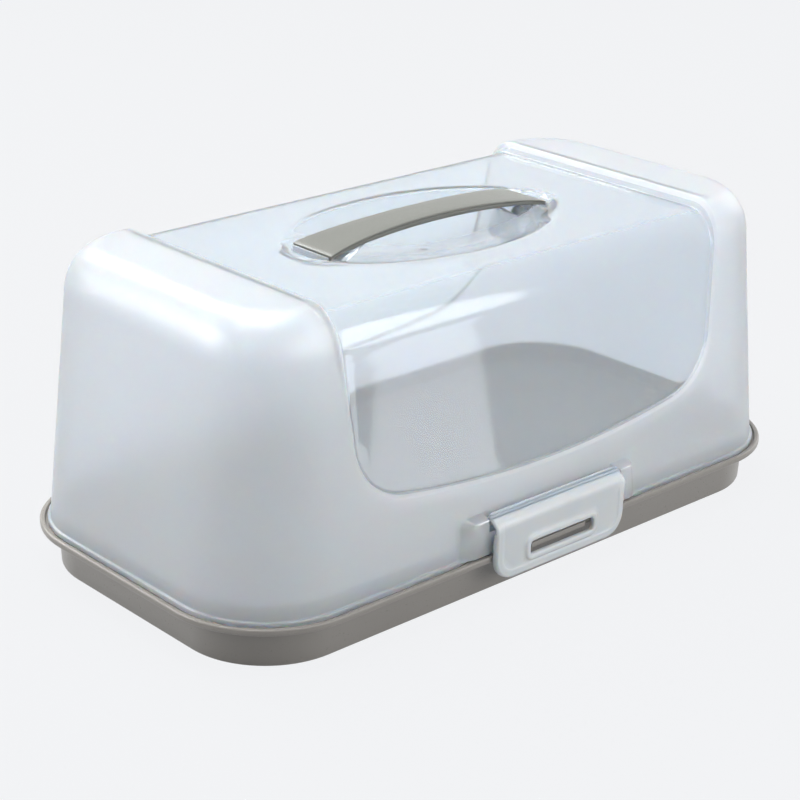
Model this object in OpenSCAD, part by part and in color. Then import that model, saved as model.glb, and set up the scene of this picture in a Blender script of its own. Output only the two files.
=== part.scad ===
// Loaf cake carrier: a shallow serving tray, a tall translucent hood hinged along the rear rim,
// a swinging front latch and an arched carry handle let into the roof.
// X runs along the length, the front with the latch is -Y, the table is Z = 0.

/* [Tray] */
// Length over the tray's rim
tray_len = 385; // [340:1:430]
// Width over the tray's rim
tray_wid = 200; // [180:1:230]
// Plan radius of the rim's corners
rim_r = 54; // [44:1:64]
// Height of the rim's underside above the table
rim_low = 20.4; // [16:0.1:26]
// Thickness of the rim's ledge that the hood stands on
rim_t = 1.7; // [1.2:0.1:2.4]
// Height of the outer lip above the ledge
lip_h = 1.6; // [0.8:0.1:2]
// Width of the outer lip
lip_w = 3; // [2:0.1:4]
// How far the rim overhangs the skirt
rim_over = 8.4; // [7:0.1:10]
// How far the skirt draws in from rim to foot
skirt_draft = 1.4; // [0.4:0.1:3]
// Rounding of the skirt's bottom edge
foot_r = 1; // [0.5:0.1:2]
// Wall of the skirt
tray_wall = 2.4; // [2:0.1:3]
// Thickness of the floor
floor_t = 2.4; // [1.6:0.1:3]
// Height of the floor's top above the table
floor_z = 26.5; // [25:0.1:29]
// Height of the raised border above the floor
border_h = 4.6; // [3:0.1:7]
// Width of the raised border's flat top
border_w = 2.2; // [1.4:0.1:3]
// Width of the sloping bank between border and floor
bank_w = 6.5; // [3:0.5:12]
// Plan radius of the floor's corners
floor_r = 60; // [48:1:72]

/* [Hood] */
// Height of the hood's ends above the table
hood_top = 162.7; // [150:0.1:180]
// Wall of the hood
hood_wall = 2.2; // [1.6:0.1:2.6]
// Inward lean of the end walls for each millimetre of height
lean_x = 0.1; // [0.04:0.01:0.14]
// Inward lean of the long walls for each millimetre of height
lean_y = 0.088; // [0.04:0.01:0.12]
// Width of the rounding along the top edges
edge_w = 18; // [12:1:22]
// Height of the rounding along the top edges
edge_h = 24.5; // [16:0.5:30]
// Width of the flange round the hood's bottom edge
flange_w = 1.4; // [0.8:0.1:2]
// Height of the flange
flange_h = 2.6; // [1.6:0.1:4]
// Gap between the flange and the tray's lip
flange_gap = 0.6; // [0.5:0.1:1]
// Gap between the hood's wall and the tray's raised border
border_gap = 1.3; // [1.2:0.1:2]
// Gap between the hood's bottom edge and the ledge
seat_gap = 0.3; // [0.3:0.1:0.6]

/* [Clear saddle] */
// Half length of the clear band across the roof
band_x = 127; // [110:1:135]
// How deep the band lies below the ends on the roof
band_drop = 5.2; // [3:0.1:7]
// How deep the band lies in the long walls
band_in = 1.8; // [1:0.1:2.6]
// Half length of the window above its lower corners
window_x = 122; // [105:1:126]
// Height of the window's lowest point
window_z = 59.8; // [52:0.1:72]
// Rise of the window's lower edge towards its corners
window_bow = 7.2; // [2:0.1:10]
// Radius of the window's lower corners
window_r = 34; // [20:1:40]

/* [Roof recess] */
// Half length of the hand recess
bowl_x = 82; // [80:1:90]
// Half width of the hand recess
bowl_y = 50; // [40:1:54]
// Depth of the hand recess
bowl_d = 14.3; // [12:0.1:18]
// Radius of the pocket round each end of the strap
pocket_r = 21; // [18:0.5:23]
// Depth of that pocket
pocket_d = 3.3; // [3:0.1:4]

/* [Handle] */
// Half length of the strap
strap_x = 73; // [70:0.5:76]
// Half width of the strap at its ends
strap_end = 14.2; // [12:0.1:16]
// Half width of the strap at its waist
strap_mid = 9.7; // [8:0.1:12]
// Rise of the arch at its middle
strap_rise = 6.5; // [5:0.1:12]
// Thickness of the strap at its middle
strap_t = 3.6; // [3:0.1:5]
// Thickness of the strap at its ends
strap_tip = 2.2; // [1.8:0.1:3]
// Length of the snap tab under each end
tab_h = 4; // [3:0.1:5]
// Thickness of the snap tab
tab_t = 2.6; // [2:0.1:3.2]
// Width of the snap tab
tab_w = 14; // [10:0.5:16]

/* [Latch] */
// Width of the latch clip
clip_w = 90; // [70:1:100]
// Height of the clip below its pivot
clip_drop = 31.2; // [29:0.1:33]
// Height of the pivot above the tray's rim
latch_up = 17.9; // [15:0.1:20]
// Distance of the pivot behind the rim's front edge
latch_in = 2.8; // [2.2:0.1:3]
// Thickness of the clip's plate
clip_t = 1.8; // [1.4:0.1:2.2]
// Radius of the clip's lower corners
clip_r = 12; // [6:1:16]
// Radius of the latch pin
latch_pin_r = 1.1; // [0.8:0.1:1.3]
// Width of the slot in the clip
slot_w = 42; // [30:1:50]
// Height of the slot in the clip
slot_h = 6.7; // [5:0.1:7.4]
// Length of the catch ridge on the tray's rim
catch_w = 38; // [26:1:40]
// How far the catch ridge stands out of the rim
catch_out = 1.3; // [0.8:0.1:1.4]

/* [Rear hinge] */
// Distance of each hinge from the middle
hinge_x = 60; // [45:1:80]
// Width of each hood knuckle
knuckle_w = 13; // [8:0.5:18]
// Outer radius of the knuckles
knuckle_r = 3; // [2.8:0.1:3.4]
// Radius of the hinge pins
hinge_pin_r = 1.5; // [1.2:0.1:1.7]
// Thickness of each tray lug
lug_t = 5; // [3:0.5:8]

/* [Hidden] */
arc_n = 8;
$fn = 48;
run_gap = 0.06;
press = 0.02;
side_gap = 0.5;
fit_gap = 0.15;
hl = tray_len / 2;
hw = tray_wid / 2;
seat_z = rim_low + rim_t;
rim_top = seat_z + lip_h;
hood_in = lip_w + flange_gap + flange_w;
border_in = hood_in + hood_wall + border_gap;
border_top = floor_z + border_h;
bank_in = border_in + border_w + bank_w;
hood_z = seat_z + seat_gap;
pivot_y = hw + knuckle_r + 0.6;
pivot_z = rim_top + 1.2;
latch_y = -(hw - latch_in);
latch_z = rim_top + latch_up;
barrel_r = latch_pin_r + 1.3;
plate_y = -(hw + catch_out + side_gap);
roof_z = hood_top - band_drop;
boss_bottom = rim_top + 0.7;

// Points of a rounded rectangle with half sizes a and b and corner radius r
function outline(a, b, r) = [
    for (q = [[1, 1, 0], [-1, 1, 90], [-1, -1, 180], [1, -1, 270]], k = [0 : arc_n])
        [q.x * (a - r) + r * cos(q.z + 90 * k / arc_n), q.y * (b - r) + r * sin(q.z + 90 * k / arc_n)]
];
// The same outline lifted to height z, drawn in by d from the rim's edge
function inset(d, z) = [for (p = outline(hl - d, hw - d, rim_r - d)) [p.x, p.y, z]];
function lift(points, z) = [for (p = points) [p.x, p.y, z]];
// Window outline in X and Z, grown by g on every side
function corner_x() = window_x - window_r;
function bow_angle() = atan(2 * window_bow * corner_x() / 8100);
function corner_z() = window_z + window_bow * pow((corner_x() + window_r * sin(bow_angle())) / 90, 2)
    + window_r * cos(bow_angle());
function half_window(g) = concat(
    [for (k = [0 : 8]) let (x = (corner_x() + (window_r + g) * sin(bow_angle())) * k / 8)
        [x, window_z - g + window_bow * pow(x / 90, 2)]],
    [for (k = [1 : 8]) let (t = -90 + bow_angle() + (90 - bow_angle()) * k / 8)
        [corner_x() + (window_r + g) * cos(t), corner_z() + (window_r + g) * sin(t)]],
    [[band_x + g, roof_z], [band_x + g, hood_top + 20]]
);
function window_outline(g) = concat(half_window(g), [for (i = [len(half_window(g)) - 1 : -1 : 1])
    [-half_window(g)[i].x, half_window(g)[i].y]]);

// Solid through a stack of rings that share one number of points
module loft(rings) {
    n = len(rings[0]);
    polyhedron(
        points = [for (r = rings) each r],
        faces = concat(
            [[for (i = [0 : n - 1]) i]],
            [for (k = [0 : len(rings) - 2], i = [0 : n - 1]) each [
                [k * n + i, (k + 1) * n + i, (k + 1) * n + (i + 1) % n],
                [k * n + i, (k + 1) * n + (i + 1) % n, k * n + (i + 1) % n]
            ]],
            [[for (i = [n - 1 : -1 : 0]) (len(rings) - 1) * n + i]]
        )
    );
}

// The hood's outer form drawn in by d at the sides and by v at the roof, from height z up
function wall_ring(d, z) = lift(outline(
    hl - hood_in - lean_x * (z - hood_z) - d,
    hw - hood_in - lean_y * (z - hood_z) - d,
    rim_r - hood_in - lean_y * (z - hood_z) - d
), z);
function edge_ring(d, v, t) = let (
    turn_z = hood_top - edge_h,
    cut = (edge_w - 0.6 * d) * (1 - cos(t)),
    z = hood_top - v - (edge_h - 0.6 * v) * (1 - sin(t))
) lift(outline(
    hl - hood_in - lean_x * (turn_z - hood_z) - d - cut,
    hw - hood_in - lean_y * (turn_z - hood_z) - d - cut,
    max(rim_r - hood_in - lean_y * (turn_z - hood_z) - d - 0.7 * cut, 4)
), z);
module form(d, v, z) {
    loft(concat([wall_ring(d, z)], [for (t = [0 : 15 : 90]) edge_ring(d, v, t)]));
}
module band(g) {
    translate([0, tray_wid, 0])
        rotate([90, 0, 0])
            linear_extrude(2 * tray_wid)
                polygon(window_outline(g));
}
// Hollow that stays hood_wall inside the stepped outer form
module hood_cavity() {
    form(hood_wall + band_in, hood_wall + band_drop, hood_z - 1);
    difference() {
        form(hood_wall, hood_wall, hood_z - 1);
        band(hood_wall);
    }
}
// Hand recess: a bowl that is a parabola in each direction
function bowl_ring(g, s) = [for (k = [0 : 35])
    [(bowl_x + g) * s * cos(10 * k), (bowl_y + g) * s * sin(10 * k), roof_z - (bowl_d + g) * (1 - s * s)]];
module bowl(g) {
    top = bowl_ring(g, 1);
    loft(concat([for (s = [0.15, 0.4, 0.6, 0.8, 0.92, 1]) bowl_ring(g, s)], [lift(top, roof_z + 8)]));
}
// Height of the strap's underside over x
function strap_top(x) = roof_z + 0.3 + strap_rise * pow(max(1 - pow(x / strap_x, 2), 0), 0.75);
function strap_thick(x) = strap_tip + (strap_t - strap_tip) * (1 - pow(x / strap_x, 2));
function strap_under(x) = strap_top(x) - strap_thick(x);
function tab_x() = strap_x - 4 - tab_t / 2;

function bowl_z(x) = roof_z - bowl_d * (1 - pow(x / bowl_x, 2));
// Shallow pocket round the strap's end, or the wall under it when grown by g
module end_pocket(g) {
    translate([strap_x - pocket_r + 8.5, 0, roof_z - pocket_d - g])
        cylinder(r = pocket_r + g, h = pocket_d + (g > 0 ? g : 8));
}
// Clear lug under each end of the strap
module handle_lug() {
    translate([0, tab_w / 2 + 2, 0])
        rotate([90, 0, 0])
            linear_extrude(tab_w + 4)
                polygon([
                    [tab_x() - 23, strap_under(tab_x() - 23) - fit_gap],
                    [tab_x() - 9, bowl_z(tab_x() - 9) - 1],
                    [tab_x() + 4, roof_z - pocket_d - 1],
                    [tab_x() + 4, strap_under(tab_x() + 4) - 3 * fit_gap],
                    [tab_x() - 6, strap_under(tab_x() - 6) - fit_gap]
                ]);
}
// Socket for the snap tab
module tab_socket() {
    translate([tab_x() - tab_t / 2 - 0.1, -tab_w / 2 - 0.1, strap_under(tab_x()) - tab_h - 0.3])
        cube([tab_t + 0.2, tab_w + 0.2, tab_h + 8]);
}
// Raised pad on the front wall whose corners carry the latch pin
module latch_boss() {
    lug_top = latch_z + barrel_r - 0.3;
    side = clip_w / 2 + 9.5;
    difference() {
        intersection() {
            rotate([90, 0, 0])
                linear_extrude(tray_wid)
                    polygon([
                        [-side - 7.5, boss_bottom], [side + 7.5, boss_bottom],
                        [side, lug_top + 1], [-side, lug_top + 1]
                    ]);
            translate([-tray_len / 2, 0, 0])
                rotate([90, 0, 90])
                    linear_extrude(tray_len)
                        polygon([
                            [-(hw - hood_in - 1), boss_bottom],
                            [latch_y - 1.6, boss_bottom],
                            [latch_y - barrel_r + 0.3, latch_z],
                            [latch_y - 0.7 * barrel_r, latch_z + 0.7 * barrel_r],
                            [latch_y, lug_top],
                            [-(hw - hood_in - 1 - lean_y * (lug_top - boss_bottom)), lug_top]
                        ]);
        }
        translate([-clip_w / 2 - side_gap, -tray_wid, latch_z - 4])
            cube([clip_w + 2 * side_gap, tray_wid, 20]);
    }
}
module knuckle() {
    translate([-knuckle_w / 2, 0, 0]) {
        translate([0, pivot_y, pivot_z])
            rotate([0, 90, 0])
                cylinder(r = knuckle_r, h = knuckle_w);
        translate([0, hw - hood_in - 1.4, pivot_z - 0.6])
            cube([knuckle_w, pivot_y - (hw - hood_in - 1.4), knuckle_r + 0.6]);
    }
}
module hinge_lug() {
    translate([-lug_t / 2, 0, 0]) {
        translate([0, pivot_y, pivot_z])
            rotate([0, 90, 0])
                cylinder(r = knuckle_r, h = lug_t);
        rotate([90, 0, 90])
            linear_extrude(lug_t)
                polygon([
                    [hw - 1.5, rim_low + 0.4], [hw + 0.6, rim_low + 0.4],
                    [pivot_y, pivot_z - knuckle_r], [pivot_y, pivot_z + knuckle_r],
                    [hw - 1.5, pivot_z + knuckle_r - 0.6]
                ]);
    }
}
module hinge_bore(r, x0, x1) {
    translate([x0, pivot_y, pivot_z])
        rotate([0, 90, 0])
            cylinder(r = r, h = x1 - x0);
}
lug_x = knuckle_w / 2 + side_gap + lug_t / 2;
hinge_half = lug_x + lug_t / 2;

module tray() color("#8a857e") {
    difference() {
        union() {
            loft([
                inset(rim_over + skirt_draft + foot_r, 0),
                inset(rim_over + skirt_draft + 0.3 * foot_r, 0.3 * foot_r),
                inset(rim_over + skirt_draft, foot_r),
                inset(rim_over, rim_low + 0.5)
            ]);
            translate([0, 0, rim_low])
                linear_extrude(rim_top - rim_low)
                    polygon(outline(hl, hw, rim_r));
            translate([0, 0, rim_low])
                linear_extrude(border_top - rim_low)
                    polygon(outline(hl - border_in, hw - border_in, rim_r - border_in));
            translate([-catch_w / 2, -hw - catch_out, rim_low + 0.3])
                cube([catch_w, catch_out + 1, rim_top - rim_low - 0.6]);
            for (s = [-1, 1], e = [-1, 1])
                translate([s * hinge_x + e * lug_x, 0, 0])
                    hinge_lug();
        }
        difference() {
            translate([0, 0, seat_z])
                linear_extrude(border_h + 20)
                    polygon(outline(hl - lip_w, hw - lip_w, rim_r - lip_w));
            translate([0, 0, rim_low])
                linear_extrude(border_h + 40)
                    polygon(outline(hl - border_in, hw - border_in, rim_r - border_in));
        }
        loft([
            lift(outline(hl - bank_in, hw - bank_in, floor_r), floor_z),
            inset(border_in + border_w, border_top),
            inset(border_in + border_w, border_top + 5)
        ]);
        loft([
            inset(rim_over + skirt_draft + tray_wall, -1),
            inset(rim_over + skirt_draft + tray_wall, floor_z - floor_t)
        ]);
        for (s = [-1, 1])
            hinge_bore(hinge_pin_r - press, s * hinge_x - hinge_half - 1, s * hinge_x + hinge_half + 1);
    }
}

// The hood's moulded shell with its hand recess, before lugs and sockets
module hood_shell() {
    difference() {
        union() {
            difference() {
                union() {
                    difference() {
                        form(0, 0, hood_z);
                        band(0);
                    }
                    form(band_in, band_drop, hood_z);
                    translate([0, 0, hood_z])
                        linear_extrude(flange_h)
                            polygon(outline(hl - lip_w - flange_gap, hw - lip_w - flange_gap,
                                rim_r - lip_w - flange_gap));
                }
                hood_cavity();
            }
            intersection() {
                union() {
                    bowl(hood_wall);
                    end_pocket(hood_wall);
                    mirror([1, 0, 0])
                        end_pocket(hood_wall);
                }
                form(band_in + 0.5, band_drop, hood_z);
            }
        }
        bowl(0);
        end_pocket(0);
        mirror([1, 0, 0])
            end_pocket(0);
    }
}
module hood() color("#dfe7ec", 0.55) {
    difference() {
        union() {
            hood_shell();
            latch_boss();
            for (s = [-1, 1])
                translate([s * hinge_x, 0, 0])
                    knuckle();
            handle_lug();
            mirror([1, 0, 0])
                handle_lug();
        }
        tab_socket();
        mirror([1, 0, 0])
            tab_socket();
        for (s = [-1, 1]) {
            hinge_bore(hinge_pin_r + run_gap, s * hinge_x - knuckle_w, s * hinge_x + knuckle_w);
            translate([s * (clip_w / 2 + 7) - 10, latch_y, latch_z])
                rotate([0, 90, 0])
                    cylinder(r = latch_pin_r - press, h = 20);
        }
    }
}

module handle() color("#a3a59e") {
    stations = 28;
    loft([for (k = [0 : stations]) let (x = strap_x * (2 * k / stations - 1))
        let (w = strap_mid + (strap_end - strap_mid) * pow(x / strap_x, 2),
            z = strap_top(x), t = strap_thick(x))
        [[x, -w + 0.8, z - t], [x, w - 0.8, z - t], [x, w, z - t + 0.8], [x, w, z - 0.8],
            [x, w - 1, z], [x, -w + 1, z], [x, -w, z - 0.8], [x, -w, z - t + 0.8]]]);
    for (s = [-1, 1])
        translate([s * tab_x(), 0, strap_under(tab_x()) - tab_h / 2 + 0.5])
            cube([tab_t, tab_w, tab_h + 1], center = true);
}
// Front view of the clip's plate, drawn in by d
module clip_outline(d) {
    a = clip_w / 2 - d;
    r = clip_r - d;
    low = latch_z - clip_drop + d;
    polygon(concat(
        [[a, latch_z - 4], [-a, latch_z - 4]],
        [for (k = [0 : 8]) [-a + r - r * cos(90 * k / 8), low + r - r * sin(90 * k / 8)]],
        [for (k = [0 : 8]) [a - r + r * sin(90 * k / 8), low + r - r * cos(90 * k / 8)]]
    ));
}
module clip_slab(y0, y1, d) {
    translate([0, y1, 0])
        rotate([90, 0, 0])
            linear_extrude(y1 - y0)
                clip_outline(d);
}
module latch_clip() color("#ccd4da", 0.7) {
    face_y = plate_y - clip_t;
    slot_z = rim_low - 1.1;
    difference() {
        union() {
            clip_slab(face_y, plate_y + 1.2, 0);
            translate([-clip_w / 2, 0, 0])
                rotate([90, 0, 90])
                    linear_extrude(clip_w)
                        polygon([
                            [latch_y + 2.2, latch_z + 2.4], [face_y + 2, latch_z - 0.4],
                            [face_y + 0.5, latch_z - 1.4], [face_y, latch_z - 2.8],
                            [face_y, latch_z - 6], [plate_y, latch_z - 6],
                            [plate_y, latch_z - 3.6], [plate_y + 1.6, latch_z - 2.4],
                            [latch_y, latch_z - barrel_r + 0.1], [latch_y + 1, latch_z]
                        ]);
            translate([-clip_w / 2, latch_y, latch_z])
                rotate([0, 90, 0])
                    cylinder(r = barrel_r, h = clip_w);
            translate([-slot_w / 2 - 3, face_y - 0.8, slot_z - 3])
                cube([slot_w + 6, 2, slot_h + 6]);
        }
        intersection() {
            clip_slab(plate_y, plate_y + 5, 1.6);
            translate([-clip_w / 2, -tray_wid, 0])
                cube([clip_w, 2 * tray_wid, latch_z - 6]);
        }
        translate([-catch_w / 2 - 2, plate_y, 0])
            cube([catch_w + 4, 5, latch_z - 6]);
        translate([-slot_w / 2, face_y - 5, slot_z])
            cube([slot_w, 20, slot_h]);
        translate([-clip_w / 2 - 1, latch_y, latch_z])
            rotate([0, 90, 0])
                cylinder(r = latch_pin_r + run_gap, h = clip_w + 2);
    }
}
module latch_pin() color("#b9bcc0") {
    translate([-clip_w / 2 - 8.5, latch_y, latch_z])
        rotate([0, 90, 0])
            cylinder(r = latch_pin_r, h = clip_w + 17);
}
module hinge_pin(s) {
    translate([s * hinge_x - hinge_half - 0.3, pivot_y, pivot_z])
        rotate([0, 90, 0])
            cylinder(r = hinge_pin_r, h = 2 * hinge_half + 0.6);
}
module hinge_pin_left() color("#b9bcc0") hinge_pin(-1);
module hinge_pin_right() color("#b9bcc0") hinge_pin(1);

tray();
hood();
handle();
latch_clip();
latch_pin();
hinge_pin_left();
hinge_pin_right();
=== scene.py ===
# Cake carrier with hinged lid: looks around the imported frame.
import bpy, bmesh
import numpy as np
from math import atan, copysign, cos, dist, hypot, pi, radians, sin
from mathutils import Vector, Matrix, kdtree
from mathutils.geometry import delaunay_2d_cdt


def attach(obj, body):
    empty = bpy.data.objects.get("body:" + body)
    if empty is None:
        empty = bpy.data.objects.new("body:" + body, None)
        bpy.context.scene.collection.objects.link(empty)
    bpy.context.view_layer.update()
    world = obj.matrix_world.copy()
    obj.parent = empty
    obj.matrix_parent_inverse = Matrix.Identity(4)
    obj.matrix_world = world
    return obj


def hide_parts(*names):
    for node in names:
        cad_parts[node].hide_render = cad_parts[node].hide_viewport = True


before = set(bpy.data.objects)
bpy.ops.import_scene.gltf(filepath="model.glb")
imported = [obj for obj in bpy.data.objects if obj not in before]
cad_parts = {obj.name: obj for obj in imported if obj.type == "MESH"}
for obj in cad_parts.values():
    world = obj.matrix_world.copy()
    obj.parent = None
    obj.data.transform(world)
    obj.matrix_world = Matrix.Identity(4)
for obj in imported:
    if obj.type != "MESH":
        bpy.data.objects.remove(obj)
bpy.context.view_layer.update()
mm = 0.001


def hexColor(code):
    code = code.lstrip("#")
    parts = [int(code[i:i + 2], 16) / 255 for i in (0, 2, 4)]
    return tuple([c / 12.92 if c <= 0.04045 else ((c + 0.055) / 1.055) ** 2.4 for c in parts] + [1.0])


def addNode(tree, kind, inputs=None, **settings):
    # An input takes a value, a socket, or a node whose first output is meant
    node = tree.nodes.new(kind)
    for key, value in settings.items():
        setattr(node, key, value)
    for key, value in (inputs or {}).items():
        if isinstance(value, bpy.types.Node):
            value = value.outputs[0]
        if isinstance(value, bpy.types.NodeSocket):
            tree.links.new(value, node.inputs[key])
        else:
            node.inputs[key].default_value = value
    return node


# Materials, each with a single Principled shader
def newMaterial(name):
    material = bpy.data.materials.new(name)
    material.use_nodes = True
    material.node_tree.nodes.clear()
    return material, material.node_tree


def finishMaterial(tree, shader):
    addNode(tree, "ShaderNodeOutputMaterial", {"Surface": shader})


plasticIor = 1.49
grainLow, grainHigh = 0.3, 0.7  # between these the noise of the grain lies


def mouldedPlastic(name, look):
    # A fine grain pressed into the surface, and a slow change of tone over the piece
    material, tree = newMaterial(name)
    place = addNode(tree, "ShaderNodeTexCoord").outputs["Object"]
    grain = addNode(tree, "ShaderNodeTexNoise", {
        "Vector": place, "Scale": 1 / (look["grain"] * mm), "Detail": 3.0, "Roughness": 0.55})
    bump = addNode(tree, "ShaderNodeBump", {
        "Strength": look["bump"], "Distance": look["depth"] * mm, "Height": grain})
    flow = addNode(tree, "ShaderNodeTexNoise", {
        "Vector": place, "Scale": 1 / (look["flow"] * mm), "Detail": look["flowDetail"]})
    tone = addNode(tree, "ShaderNodeMix", {
        "Factor": flow, "A": hexColor(look["dark"]), "B": hexColor(look["light"])}, data_type="RGBA")
    inputs = {"Base Color": tone.outputs["Result"], "Roughness": look["rough"], "IOR": plasticIor, "Normal": bump}
    if "through" in look:
        # Light goes through, and the milky share of it is spread, red the farthest
        inputs.update({
            "Transmission Weight": look["through"], "Specular IOR Level": look["mirror"], "Subsurface Weight": 1.0,
            "Subsurface Radius": (1.0, 0.75, 0.56), "Subsurface Scale": look["milkDepth"] * mm})
    else:
        low, high = look["rough"] - look["roughChange"], look["rough"] + look["roughChange"]
        inputs["Roughness"] = addNode(tree, "ShaderNodeMapRange", {
            "Value": grain, "From Min": grainLow, "From Max": grainHigh, "To Min": low, "To Max": high})
    finishMaterial(tree, addNode(tree, "ShaderNodeBsdfPrincipled", inputs))
    return material


def steelMaterial(name):
    material, tree = newMaterial(name)
    place = addNode(tree, "ShaderNodeTexCoord").outputs["Object"]
    stretch = addNode(tree, "ShaderNodeMapping", {"Vector": place, "Scale": (40, 2500, 2500)})
    noise = addNode(tree, "ShaderNodeTexNoise", {"Vector": stretch, "Scale": 1.0, "Detail": 2.0})
    rough = addNode(tree, "ShaderNodeMapRange", {"Value": noise, "To Min": 0.22, "To Max": 0.38})
    bump = addNode(tree, "ShaderNodeBump", {"Strength": 0.1, "Distance": 0.02 * mm, "Height": noise})
    finishMaterial(tree, addNode(tree, "ShaderNodeBsdfPrincipled", {
        "Base Color": hexColor("#c4c6c8"), "Metallic": 1.0, "Roughness": rough, "Normal": bump}))
    return material


# Etched polypropylene: milky, lets light and blurred dark shapes through
frosted = mouldedPlastic("frosted_polypropylene", {
    "dark": "#eff4fc", "light": "#f5f8fe", "rough": 0.32, "through": 0.77, "milkDepth": 4.0, "mirror": 0.5,
    "grain": 1.6, "bump": 0.05, "depth": 0.05, "flow": 45, "flowDetail": 1.5})
# Polished polypropylene: clear with a cool haze
clear = mouldedPlastic("clear_polypropylene", {
    "dark": "#eaf2f9", "light": "#f0f6fb", "rough": 0.055, "through": 0.9, "milkDepth": 6.0, "mirror": 0.3,
    "grain": 9.0, "bump": 0.05, "depth": 0.05, "flow": 60, "flowDetail": 1.5})
# Thin moulded clip: satin, milkier than the hood, with soft edges
clipPlastic = mouldedPlastic("satin_clear_polypropylene", {
    "dark": "#d3d8da", "light": "#dcdfe1", "rough": 0.2, "through": 0.36, "milkDepth": 1.6, "mirror": 0.5,
    "grain": 1.4, "bump": 0.08, "depth": 0.05, "flow": 25, "flowDetail": 1.5})
# Warm grey polypropylene with a fine etched grain that softens its shine
trayPlastic = mouldedPlastic("warm_grey_polypropylene", {
    "dark": "#7a7671", "light": "#817d77", "rough": 0.32, "roughChange": 0.05,
    "grain": 0.9, "bump": 0.25, "depth": 0.06, "flow": 60, "flowDetail": 2.0})
# The strap's darker, greener grey with the same satin shine
strapPlastic = mouldedPlastic("warm_grey_strap_plastic", {
    "dark": "#62635d", "light": "#686963", "rough": 0.33, "roughChange": 0.05,
    "grain": 0.8, "bump": 0.2, "depth": 0.05, "flow": 30, "flowDetail": 2.0})
# Drawn steel rod: grey metal with faint lengthwise wear
steel = steelMaterial("drawn_steel")
print("materials ready")


def smoothStep(value):
    value = np.clip(value, 0, 1)
    return value * value * (3 - 2 * value)


def fade(value, start, width):
    # Rises softly from 0 at the start to 1 a width further on
    return smoothStep((value - start) / width)


def softRamp(value):
    # A straight slope from 0 to 1 with rounded shoulders
    value = np.clip(value, 0, 1)
    shoulder = 0.22
    bend = 2 * shoulder * (1 - shoulder)
    slope = (value - shoulder / 2) / (1 - shoulder)
    upper = np.where(value > 1 - shoulder, 1 - (1 - value) ** 2 / bend, slope)
    return np.where(value < shoulder, value ** 2 / bend, upper)


def arcPoints(cx, cy, radius, start, end, count):
    turns = [radians(start + (end - start) * k / count) for k in range(count + 1)]
    return [(cx + radius * cos(t), cy + radius * sin(t)) for t in turns]


def outlineRing(halfX, halfY, radius, steps):
    # Rounded rectangle, counterclockwise from above, starting at the front of the right corner
    points = []
    for cx, cy, start in ((1, -1, -90), (1, 1, 0), (-1, 1, 90), (-1, -1, 180)):
        points += arcPoints(cx * (halfX - radius), cy * (halfY - radius), radius, start, start + 90, steps)
    return points


def addObject(name, data):
    obj = bpy.data.objects.new(name, data)
    bpy.context.collection.objects.link(obj)
    return obj


def meshObject(name, vertices, faces, *materials):
    mesh = bpy.data.meshes.new(name)
    mesh.from_pydata([tuple(v) for v in vertices], [], [tuple(f) for f in faces])
    mesh.update()
    for material in materials:
        mesh.materials.append(material)
    mesh.polygons.foreach_set("use_smooth", [True] * len(mesh.polygons))
    return addObject(name, mesh)


def changeMesh(obj, change):
    # Runs one change on a piece's mesh
    bm = bmesh.new()
    bm.from_mesh(obj.data)
    change(bm)
    bm.to_mesh(obj.data)
    bm.free()
    return obj


def finishPiece(obj, sharpFrom, turnOut=True):
    # Turns the faces outwards, marks the sharp edges and says whether the piece is closed
    def turnAndMark(bm):
        if turnOut:
            bmesh.ops.recalc_face_normals(bm, faces=bm.faces)
        joined = [edge for edge in bm.edges if len(edge.link_faces) == 2]
        for edge in joined:
            edge.smooth = edge.calc_face_angle(0) < radians(sharpFrom)
        openEdges, volume = len(bm.edges) - len(joined), round(bm.calc_volume() * 1e9)
        print(obj.name, len(bm.faces), "faces,", openEdges, "open edges,", volume, "mm3")
    return changeMesh(obj, turnAndMark)


def addBlock(obj, low, high, edge):
    # Adds a closed box with rounded edges to a piece's mesh
    bm = bmesh.new()
    for v in bmesh.ops.create_cube(bm, size=1.0)["verts"]:
        v.co = Vector([(low[i] + high[i]) / 2 + v.co[i] * (high[i] - low[i]) for i in range(3)]) * mm
    bmesh.ops.bevel(bm, geom=bm.edges[:], offset=edge * mm, segments=3, profile=0.5, affect="EDGES")
    bm.from_mesh(obj.data)
    bm.to_mesh(obj.data)
    bm.free()


def joinLines(lines):
    # Points of all lines, and the edges along them, round those that are closed
    points, edges = [], []
    for line, closed in lines:
        start, count = len(points), len(line)
        points += line
        edges += [(start + i, start + (i + 1) % count) for i in range(count if closed else count - 1)]
    return points, edges


def triangulate(points, edges, sliver):
    # Flat triangles that keep to the edges, turned counterclockwise, and their middles
    result = delaunay_2d_cdt([Vector(p) for p in points], edges, [], 0, 1e-5)
    plane = np.array([tuple(v) for v in result[0]])
    triangles = np.array([f for f in result[2]])
    middles = plane[triangles].mean(axis=1)
    first = plane[triangles[:, 0]]
    area = np.cross(plane[triangles[:, 1]] - first, plane[triangles[:, 2]] - first)
    triangles[area < 0] = triangles[area < 0][:, ::-1]
    solid = np.abs(area) > sliver
    return plane, triangles[solid], middles[solid]


def ringFaces(rings, n, start=0, closed=False):
    # Quads between neighbouring rings of n points
    faces = []
    for k in range(rings if closed else rings - 1):
        a, b = start + k * n, start + (k + 1) % rings * n
        faces += [(a + i, a + (i + 1) % n, b + (i + 1) % n, b + i) for i in range(n)]
    return faces


def closeSheet(front, count):
    # Adds the rear of a sheet, whose points follow the front's, and the faces round its edges
    edges = {}
    for face in front:
        edges.update(dict.fromkeys(zip(face, face[1:] + face[:1])))
    rear = [tuple(count + i for i in reversed(face)) for face in front]
    rim = [(b, a, count + a, count + b) for a, b in edges if (b, a) not in edges]
    return front + rear + rim


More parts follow.
